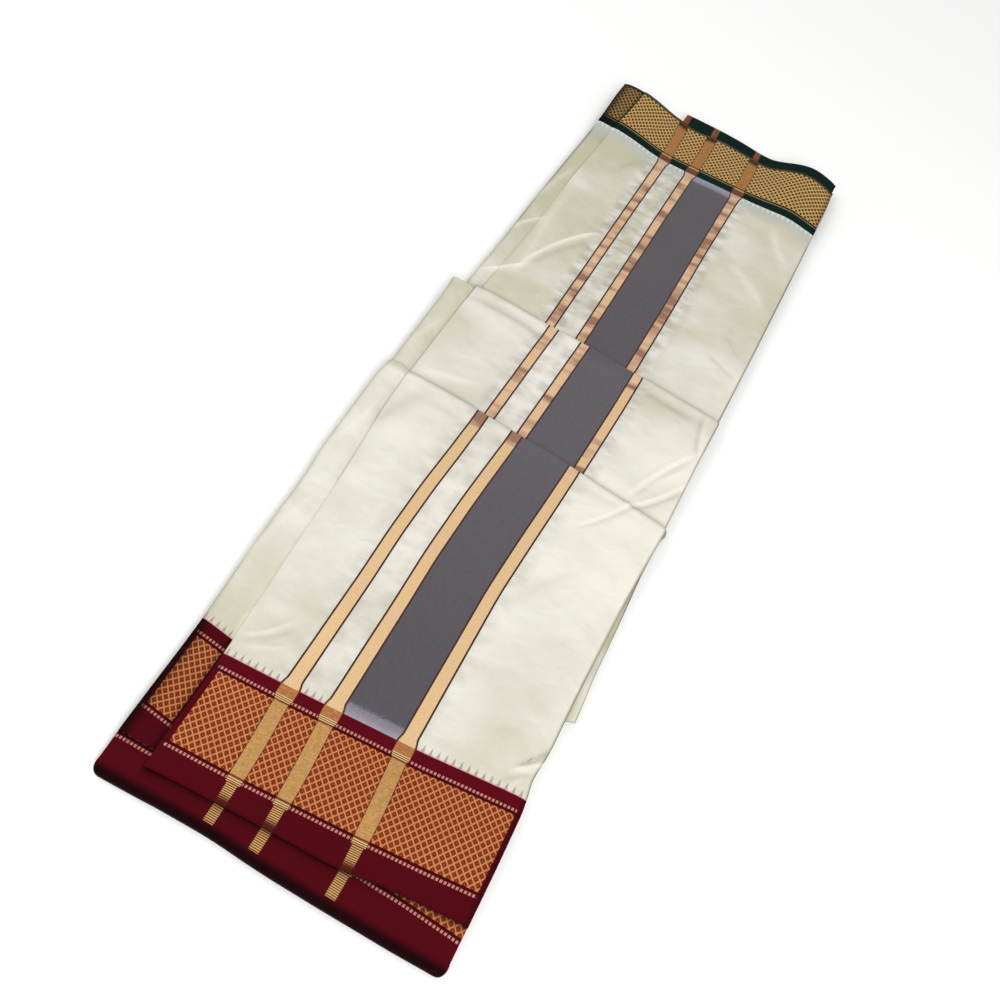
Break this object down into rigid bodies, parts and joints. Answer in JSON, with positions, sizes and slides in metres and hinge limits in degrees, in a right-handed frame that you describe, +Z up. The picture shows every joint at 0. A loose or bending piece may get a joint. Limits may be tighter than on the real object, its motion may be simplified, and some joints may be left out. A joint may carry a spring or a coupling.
{
  "type": "folded dhoti cloth",
  "caption": "Long cotton-silk dhoti folded flat into a narrow tucked bundle, with a maroon and a green metallic border and woven gold and grey bands.",
  "frame": {"origin": "centre of the bundle's bounding box, on the ground it lies on", "axes": "+Y along the bundle from the maroon border to the green border, +X across it towards the top flap's fold, +Z up"},
  "size_m": [0.2716, 0.8886, 0.0184],
  "materials": {
    "cream_cloth": "plain-woven cotton-silk with a soft sheen",
    "maroon_border": "maroon warp with copper-gold brocaded lattice",
    "green_border": "dark green warp with gold brocaded lattice",
    "gold_zari": "metallic gold weft band with dark edge threads",
    "grey_band": "matt violet-grey weft band"
  },
  "bodies": {
    "root": {"hidden_layers": "cream_cloth", "near_cream_left": "cream_cloth", "near_gold_band_1": "gold_zari", "near_cream_between": "cream_cloth", "near_gold_band_2": "gold_zari", "near_grey_band": "grey_band", "near_gold_band_3": "gold_zari", "near_cream_right": "cream_cloth", "middle_cream_left": "cream_cloth", "middle_gold_band_1": "gold_zari", "middle_cream_between": "cream_cloth", "middle_gold_band_2": "gold_zari", "middle_grey_band": "grey_band", "middle_gold_band_3": "gold_zari", "middle_cream_right": "cream_cloth", "far_cream_left": "cream_cloth", "far_gold_band_1": "gold_zari", "far_cream_between": "cream_cloth", "far_gold_band_2": "gold_zari", "far_grey_band": "grey_band", "far_gold_band_3": "gold_zari", "far_cream_right": "cream_cloth", "flap_maroon_border": "maroon_border", "flap_green_border": "green_border", "second_maroon_border": "maroon_border", "second_near_panel": "cream_cloth", "second_middle_panel": "cream_cloth", "second_far_panel": "cream_cloth", "second_green_border": "green_border", "third_maroon_border": "maroon_border", "third_green_border": "green_border"}
  },
  "joints": []
}
